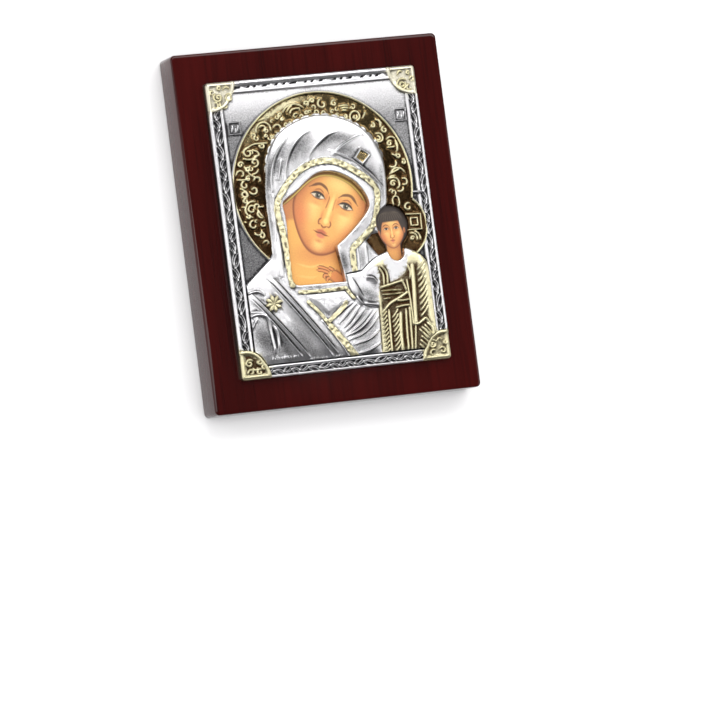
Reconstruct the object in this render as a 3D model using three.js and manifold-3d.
// A small embossed icon panel: a lacquered wooden board, a painted card laid on
// its face, and a partly gilded silver plate that covers the card and leaves two
// openings, one for the mother's face and one for the child's.
//
// Millimetres. +X is the panel's right side, +Y its top and +Z its front. The
// panel lies on its back; the origin is the middle of the board's underside.

import * as THREE from 'three';
import { mergeVertices } from 'three/addons/utils/BufferGeometryUtils.js';
import Module from 'manifold-3d';

const wasm = await Module();
wasm.setup();

// ---- Driving dimensions -------------------------------------------------

const BOARD = { width: 70, height: 89, thickness: 9, corner: 1.2, edge: 0.6 };
const PLATE = { width: 55.2, height: 73.6, corner: 1.4, edge: 0.4, wall: 1 };
const CARD = { width: 52.4, height: 70.8, thickness: 0.6 };

// Heights on the plate, above the board's face.
const LEVEL = { pocket: 0.9, field: 1.4, halo: 1.5, border: 1.9, mother: 1.85, child: 2.0 };

const BORDER = {
  side: 3.4, end: 2.9, leafPitch: 2.6, leafLength: 1.9, leafWidth: 1.1, leafRise: 0.3, lean: 0.5,
};
const CORNER = { radius: 5.2, rim: 0.45, lobe: 1.9, inset: 1.1 };

const HALO = { x: -0.3, y: 8.9, radius: 23.5, rim: 0.3, scrollRadius: 19.2, scroll: 1.7, scrolls: 18 };
const CHILD_HALO = { x: 17.1, y: -2.9, radius: 8.6, rim: 0.3 };

const PLAQUE = { size: 3.4, frame: 0.5, stroke: 0.6, rise: 0.35, left: [-21.3, 25.1], right: [22.4, 24.6] };
const BROW_STAR = { x: 10.6, y: 15.3, radius: 2.7, turn: 0.1, rise: 0.5 };
const SHOULDER_STAR = { x: -17.2, y: -18.6, radius: 1.9, rise: 0.5 };

const CROSS_ARM = { x: 22.4, y: -2.1, sizes: [1.7, 0.85], line: 0.45 };

const FOLD = { width: 0.75, height: 0.3 };
const EDGE = { size: 0.3, rise: 0.35 };

// Heights of the tools that cut right through the plate.
const CUT = { below: -1, above: 4 };

// ---- Outlines -----------------------------------------------------------

const points = (pairs) => pairs.map(([x, y]) => new THREE.Vector2(x, y));

function roundedRectangle(width, height, radius, Kind = THREE.Shape) {
  const x = width / 2;
  const y = height / 2;
  const outline = new Kind();
  outline.moveTo(x, y - radius);
  outline.absarc(x - radius, y - radius, radius, 0, Math.PI / 2);
  outline.absarc(radius - x, y - radius, radius, Math.PI / 2, Math.PI);
  outline.absarc(radius - x, radius - y, radius, Math.PI, Math.PI * 1.5);
  outline.absarc(x - radius, radius - y, radius, Math.PI * 1.5, Math.PI * 2);
  return outline;
}

function disc({ x, y, radius }) {
  const outline = new THREE.Shape();
  outline.absarc(x, y, radius, 0, Math.PI * 2);
  return outline;
}

// Veil and dress in one silhouette, down to the border's inner edge.
function motherOutline() {
  const outline = new THREE.Shape();
  outline.moveTo(-24.6, -34.2);
  outline.lineTo(-24.6, -14.4);
  outline.lineTo(-16.9, -8.1);
  outline.quadraticCurveTo(-15.8, -7.2, -15.8, -5);
  outline.lineTo(-15.8, 4);
  outline.splineThru(points([
    [-14.9, 13], [-13, 19.2], [-9.6, 23.2], [-5, 25.6], [0, 26.4], [5, 25.8],
    [9, 24.2], [12.6, 21.6], [15, 18.2], [16.3, 14], [16.4, 9], [15.8, 3.4],
  ]));
  outline.lineTo(12.6, -4);
  outline.lineTo(10.7, -4.2);
  outline.lineTo(9.1, -5.7);
  outline.lineTo(11.8, -9.6);
  outline.lineTo(9.8, -34.2);
  return outline;
}

// Tunic and cloak with the raised arm that reaches towards the mother.
function childOutline() {
  const outline = new THREE.Shape();
  outline.moveTo(9.4, -34.2);
  outline.lineTo(9.9, -22.6);
  outline.splineThru(points([[6, -21.5], [4.2, -19.6], [2.6, -17], [2.2, -13.2]]));
  outline.lineTo(6.6, -12.8);
  outline.splineThru(points([[8.6, -11.2], [11, -9.8], [13.9, -8.8]]));
  outline.lineTo(19.2, -8.4);
  outline.splineThru(points([[22.2, -10], [24.4, -13], [25.1, -17], [24.9, -34.2]]));
  return outline;
}

// Opening for the mother's leaning head and straight neck.
function motherOpening() {
  const outline = new THREE.Shape();
  outline.moveTo(-11.4, 4);
  outline.splineThru(points([[-11.2, 6], [-8.6, 7.6], [-4.6, 10.6], [-1, 12.1], [3.4, 11.6],
    [7.6, 9.2], [10.2, 5.8], [10.9, 3]]));
  outline.splineThru(points([[9.4, 1], [6, -2.6], [1, -6.2]]));
  outline.lineTo(1.6, -11);
  outline.lineTo(2.2, -15.2);
  outline.lineTo(-9.6, -15);
  outline.quadraticCurveTo(-11.2, -14.4, -11.3, -12.6);
  return outline;
}

// Opening for the child's head and neck.
function childOpening() {
  const outline = new THREE.Shape();
  outline.moveTo(14.1, -9.2);
  outline.splineThru(points([[14, -7.4], [12.8, -4.6], [12.1, -1], [13.4, 1.4], [16.2, 2.5],
    [19, 1.4], [20.7, -1.6], [20.2, -5], [18.6, -7.2], [18.5, -9.8]]));
  outline.quadraticCurveTo(16.4, -12.6, 14.1, -9.2);
  return outline;
}

function star({ x, y, radius, turn = 0 }, tips, waist) {
  const outline = new THREE.Shape();
  for (let i = 0; i < tips * 2; i += 1) {
    const angle = turn + (i * Math.PI) / tips;
    const reach = i % 2 ? radius * waist : radius;
    const at = [x + reach * Math.cos(angle), y + reach * Math.sin(angle)];
    if (i === 0) outline.moveTo(...at);
    else outline.lineTo(...at);
  }
  return outline;
}

// ---- Solids -------------------------------------------------------------

function toSolid(geometry) {
  geometry.deleteAttribute('normal');
  geometry.deleteAttribute('uv');
  const merged = mergeVertices(geometry, 1e-4);
  return new wasm.Manifold(new wasm.Mesh({
    numProp: 3,
    vertProperties: new Float32Array(merged.attributes.position.array),
    triVerts: new Uint32Array(merged.index.array),
  }));
}

function toGeometry(solid) {
  const mesh = solid.getMesh();
  const geometry = new THREE.BufferGeometry();
  geometry.setAttribute('position', new THREE.BufferAttribute(mesh.vertProperties, 3));
  geometry.setIndex(new THREE.BufferAttribute(mesh.triVerts, 1));
  geometry.computeVertexNormals();
  return geometry;
}

// A straight-sided slab between two heights.
function slab(shape, bottom, top, curveSegments = 4) {
  const geometry = new THREE.ExtrudeGeometry(shape, {
    depth: top - bottom, bevelEnabled: false, curveSegments,
  });
  return geometry.translate(0, 0, bottom);
}

// A slab with rounded edges at both ends, its outline being the widest part.
function roundedSlab(shape, bottom, top, size, rise, curveSegments = 4) {
  const geometry = new THREE.ExtrudeGeometry(shape, {
    depth: top - bottom - 2 * rise, bevelEnabled: true, bevelSize: size, bevelOffset: -size,
    bevelThickness: rise, bevelSegments: 2, curveSegments,
  });
  return geometry.translate(0, 0, bottom + rise);
}

// Relief raised from the plate's field, its edge rounded over on top only.
function relief(shape, top, curveSegments = 4) {
  return toSolid(roundedSlab(shape, LEVEL.field - EDGE.rise, top, EDGE.size, EDGE.rise, curveSegments));
}

// A sharp-backed ridge along a curve on the plate, half sunk at the given height.
function ridge(curve, level, width = FOLD.width, height = FOLD.height, steps = 6) {
  const section = new THREE.Shape();
  section.absellipse(0, 0, height, width / 2, 0, Math.PI * 2);
  const geometry = new THREE.ExtrudeGeometry(section, {
    steps, extrudePath: curve, bevelEnabled: false, curveSegments: 2,
  });
  return toSolid(geometry.translate(0, 0, level));
}

function along(pairs) {
  return new THREE.CatmullRomCurve3(pairs.map(([x, y]) => new THREE.Vector3(x, y, 0)));
}

function arc({ x, y, radius }, from, to, count = 12) {
  const pairs = [];
  for (let i = 0; i <= count; i += 1) {
    const angle = from + ((to - from) * i) / count;
    pairs.push([x + radius * Math.cos(angle), y + radius * Math.sin(angle)]);
  }
  return along(pairs);
}

const join = (solids) => solids.reduce((whole, piece) => whole.add(piece));

// ---- The board ----------------------------------------------------------

function makeBoard() {
  const outline = roundedRectangle(BOARD.width, BOARD.height, BOARD.corner);
  return roundedSlab(outline, 0, BOARD.thickness, BOARD.edge, BOARD.edge, 3);
}

// ---- The card -----------------------------------------------------------

function makeCard() {
  return slab(roundedRectangle(CARD.width, CARD.height, PLATE.corner / 2), 0, CARD.thickness);
}

// ---- The plate ----------------------------------------------------------

const inner = {
  x: PLATE.width / 2 - BORDER.side,
  y: PLATE.height / 2 - BORDER.end,
};

function leaf(x, y, turn) {
  const geometry = new THREE.OctahedronGeometry(0.5);
  geometry.scale(BORDER.leafLength, BORDER.leafWidth, BORDER.leafRise * 2);
  geometry.rotateZ(turn);
  geometry.translate(x, y, LEVEL.border);
  return toSolid(geometry);
}

// Leaves in a running row, leaning in turn to one side and the other.
function leafRow(length, place, direction) {
  const count = Math.round(length / BORDER.leafPitch);
  const row = [];
  for (let i = 0; i < count; i += 1) {
    const at = ((i + 0.5) / count - 0.5) * length;
    const lean = i % 2 ? BORDER.lean : -BORDER.lean;
    row.push(leaf(...place(at), direction + lean));
  }
  return row;
}

function makeBorder() {
  const frame = roundedRectangle(PLATE.width, PLATE.height, PLATE.corner);
  frame.holes.push(roundedRectangle(inner.x * 2, inner.y * 2, PLATE.corner / 2, THREE.Path));
  const solids = [relief(frame, LEVEL.border)];
  const free = 2 * CORNER.radius + 2 * CORNER.inset;
  for (const side of [-1, 1]) {
    const x = side * (PLATE.width / 2 - BORDER.side / 2);
    const y = side * (PLATE.height / 2 - BORDER.end / 2);
    solids.push(...leafRow(PLATE.height - free, (at) => [x, at], Math.PI / 2));
    solids.push(...leafRow(PLATE.width - free, (at) => [at, y], 0));
  }
  return join(solids);
}

// A quarter-round boss in each corner, with a raised rim and two small volutes;
// the plate's own outline trims the rest of the disc away.
function makeCorner(right, up) {
  const centre = {
    x: right * (PLATE.width / 2 - CORNER.inset),
    y: up * (PLATE.height / 2 - CORNER.inset),
    radius: CORNER.radius,
  };
  const towards = Math.atan2(-up, -right);
  const solids = [relief(disc(centre), LEVEL.border, 10)];
  const rim = arc(centre, towards - Math.PI / 4, towards + Math.PI / 4, 6);
  solids.push(ridge(rim, LEVEL.border, CORNER.rim * 2, FOLD.height, 8));
  for (const lean of [-0.45, 0.45]) {
    const reach = CORNER.radius - CORNER.lobe - CORNER.rim;
    const x = centre.x + reach * Math.cos(towards + lean);
    const y = centre.y + reach * Math.sin(towards + lean);
    const volute = arc({ x, y, radius: CORNER.lobe / 2 }, towards, towards + Math.PI * 1.6, 6);
    solids.push(ridge(volute, LEVEL.border, CORNER.rim, FOLD.height, 8));
  }
  return join(solids);
}

// The mother's halo: a low disc with a bead round it and a ring of C-scrolls.
function makeHalo() {
  const solids = [toSolid(slab(disc(HALO), LEVEL.pocket + 0.2, LEVEL.halo, 24))];
  solids.push(ridge(arc(HALO, -0.4, Math.PI * 1.3, 24), LEVEL.halo, HALO.rim * 2, HALO.rim, 44));
  for (let i = 0; i < HALO.scrolls; i += 1) {
    const angle = -0.25 + (i * (Math.PI * 1.25)) / (HALO.scrolls - 1);
    const turn = angle + (i % 2 ? 0 : Math.PI);
    const x = HALO.x + HALO.scrollRadius * Math.cos(angle);
    const y = HALO.y + HALO.scrollRadius * Math.sin(angle);
    const curl = arc({ x, y, radius: HALO.scroll / 2 }, turn, turn + Math.PI * 1.4, 6);
    solids.push(ridge(curl, LEVEL.halo, FOLD.width / 2, FOLD.height / 2, 6));
  }
  return join(solids);
}

// The child's halo, with the end of one cross arm as two nested squares.
function makeChildHalo() {
  const solids = [toSolid(slab(disc(CHILD_HALO), LEVEL.pocket + 0.2, LEVEL.halo + 0.05, 12))];
  const rim = arc(CHILD_HALO, -0.7, Math.PI * 0.32, 10);
  solids.push(ridge(rim, LEVEL.halo, CHILD_HALO.rim * 2, CHILD_HALO.rim, 14));
  const { x, y, line } = CROSS_ARM;
  for (const half of CROSS_ARM.sizes) {
    const corners = [[x - half, y + half], [x + half, y + half], [x + half, y - half], [x - half, y - half]];
    for (let i = 0; i < corners.length - 1; i += 1) {
      solids.push(ridge(along([corners[i], corners[i + 1]]), LEVEL.halo, line, FOLD.height, 1));
    }
  }
  return join(solids);
}

// Two small framed plaques in the upper field, each with three upright strokes.
function makePlaque([x, y]) {
  const opening = PLAQUE.size - 2 * PLAQUE.frame;
  const frame = roundedRectangle(PLAQUE.size, PLAQUE.size, 0.3);
  frame.holes.push(roundedRectangle(opening, opening, 0.2, THREE.Path));
  const slabTop = LEVEL.field + PLAQUE.rise;
  const solids = [toSolid(slab(frame, LEVEL.field - EDGE.rise, slabTop, 2).translate(x, y, 0))];
  for (const step of [-PLAQUE.stroke, 0, PLAQUE.stroke]) {
    const stroke = along([[x + step, y - opening / 3], [x + step, y + opening / 3]]);
    solids.push(ridge(stroke, LEVEL.field, PLAQUE.stroke / 2, PLAQUE.rise / 2, 1));
  }
  return join(solids);
}

// Folds and trims, each given by a few points that its ridge passes through.
const MOTHER_FOLDS = [
  [[-9.6, 13.2], [-9, 16], [-8, 18.5], [-6.2, 20.5]],
  [[-13.6, 13.5], [-13, 16.5], [-11.2, 19.2]],
  [[-3, 16.8], [-1.5, 18.5], [0.5, 20.2]],
  [[3.8, 17], [6, 18.2], [8.4, 19.3]],
  [[3.6, 16.6], [9.6, 13], [13.8, 9]],
  [[14.4, 5], [15, 8], [15.1, 12]],
  [[-14.9, -1], [-14.8, 5], [-13.6, 11]],
  [[-18.2, -12.5], [-13, -19.5], [-4.2, -32.5]],
  [[-15.6, -13.8], [-10.2, -20.8], [-2.4, -32.2]],
  [[-23.8, -16], [-17.5, -22], [-10.2, -32.5]],
  [[-23.6, -17], [-19, -22.4], [-12, -32.4]],
  [[-24.2, -21.2], [-22, -20.9], [-19.6, -21.8], [-18.9, -25], [-18.2, -30.8]],
  [[-17.8, -24.8], [-17, -27], [-17.1, -29.6]],
  [[0.2, -25], [2.4, -23.4], [4.6, -21.4]],
  [[0.3, -27.5], [3.2, -25.2], [6, -22.6]],
  [[1.4, -29.3], [6, -27.3], [9.4, -24.4]],
  [[2.8, -30.6], [6, -29.8], [9, -28.2]],
  [[3.6, -32.8], [6.4, -32.2], [9.2, -31]],
];
const MOTHER_TRIMS = [
  [
    [-12.6, -14.4], [-13.3, -4], [-13.4, 4], [-10.4, 9.6], [-4, 14.4],
    [2.4, 14.6], [9, 11], [13, 5.4], [12, 1.4], [7.4, -4.8],
  ],
  [[4.9, -7.4], [4.9, -10.6], [4.9, -13.4]],
  [[-10, -16.6], [-4, -16.9], [1.8, -16.8]],
  [[-8, -19.5], [-3.2, -26], [2.6, -34]],
  [[-3.4, -24], [-1.2, -22.6], [1.4, -20.4]],
];
const CHILD_FOLDS = [
  [[11.4, -12.2], [12.6, -13.6], [12.8, -16.4]],
  [[19.9, -12.6], [19.9, -18], [19.3, -22], [18.9, -26.8]],
  [[18.3, -16], [18.3, -22], [18, -27.6]],
  [[12.2, -23.4], [12, -28], [11.6, -33.8]],
  [[15.3, -24.4], [15, -29], [14.6, -33.8]],
  [[16.7, -24.5], [16.5, -29], [16.1, -33.6]],
  [[18.9, -28], [18.6, -31], [18, -33.4]],
  [[10.4, -23.6], [13, -21.6], [17, -20]],
  [[11, -17.6], [14, -17], [16.4, -16.4]],
  [[18.8, -27.2], [21.5, -26.2], [23.2, -29], [23.4, -30.6]],
  [[3.4, -13.8], [4.6, -17], [6.4, -20]],
  [[7.4, -14.8], [9.2, -14.9], [10.4, -16.2]],
];

// Slanted hatching over the gilded cloak, in three columns.
function hatching() {
  const strokes = [];
  const column = (count, x, y, step, dx, dy) => {
    for (let i = 0; i < count; i += 1) {
      strokes.push([[x, y + i * step], [x + dx, y + dy + i * step]]);
    }
  };
  column(6, 10.25, -32.75, 1.5, 0.93, 1.17);
  column(5, 12.8, -32.4, 1.6, 1.5, 1.8);
  column(7, 21, -24.6, 1.7, 2.2, 2.4);
  column(4, 19.6, -32.6, 1.2, 1.6, -1.2);
  return strokes;
}

function makeFigures() {
  const routes = (list, level, width, steps) => (
    list.map((pairs) => ridge(along(pairs), level, width, FOLD.height, steps))
  );
  const solids = [relief(motherOutline(), LEVEL.mother, 3), relief(childOutline(), LEVEL.child, 3)];
  solids.push(...routes(MOTHER_FOLDS, LEVEL.mother, FOLD.width, 5));
  solids.push(...routes(MOTHER_TRIMS, LEVEL.mother, FOLD.width * 2, 12));
  solids.push(...routes(CHILD_FOLDS, LEVEL.child, FOLD.width, 5));
  solids.push(...routes(hatching(), LEVEL.child, FOLD.width / 2, 1));
  const browStar = star(BROW_STAR, 4, 0.72);
  const shoulderStar = star(SHOULDER_STAR, 8, 0.6);
  solids.push(toSolid(slab(browStar, LEVEL.field, LEVEL.mother + BROW_STAR.rise)));
  solids.push(toSolid(slab(shoulderStar, LEVEL.field, LEVEL.mother + SHOULDER_STAR.rise)));
  return join(solids);
}

function makePlate() {
  const outline = roundedRectangle(PLATE.width, PLATE.height, PLATE.corner);
  const tray = toSolid(slab(outline, 0, LEVEL.field));
  const field = toSolid(slab(roundedRectangle(inner.x * 2, inner.y * 2, PLATE.corner / 4), 0, CUT.above));
  const picture = join([makeHalo(), makeChildHalo(), makeFigures()]).intersect(field);
  const corners = [[-1, -1], [-1, 1], [1, -1], [1, 1]].map(([right, up]) => makeCorner(right, up));
  const front = join([tray, picture, makeBorder(), ...corners]);
  const plaques = [makePlaque(PLAQUE.left), makePlaque(PLAQUE.right)];
  const [pocketWidth, pocketHeight] = [PLATE.width - 2 * PLATE.wall, PLATE.height - 2 * PLATE.wall];
  const pocket = roundedRectangle(pocketWidth, pocketHeight, PLATE.corner / 2);
  const envelope = roundedSlab(outline, CUT.below, LEVEL.child + 1, PLATE.edge, 2 * PLATE.edge);
  return join([front, ...plaques])
    .subtract(toSolid(slab(pocket, CUT.below, LEVEL.pocket)))
    .subtract(toSolid(slab(motherOpening(), CUT.below, CUT.above, 3)))
    .subtract(toSolid(slab(childOpening(), CUT.below, CUT.above, 3)))
    .intersect(toSolid(envelope));
}

// ---- Assembly -----------------------------------------------------------

function piece(name, geometry, colour, roughness, metalness) {
  const material = new THREE.MeshStandardMaterial({ color: colour, roughness, metalness });
  const mesh = new THREE.Mesh(geometry, material);
  mesh.name = name;
  return mesh;
}

const panel = new THREE.Group();
panel.add(piece('wood_board', makeBoard(), 0x38100c, 0.18, 0));

const face = new THREE.Group();
face.position.z = BOARD.thickness;
face.add(piece('painted_card', makeCard(), 0xd89a55, 0.5, 0));
face.add(piece('silver_plate', toGeometry(makePlate()), 0xb8b8b6, 0.3, 1));
panel.add(face);

export default panel;
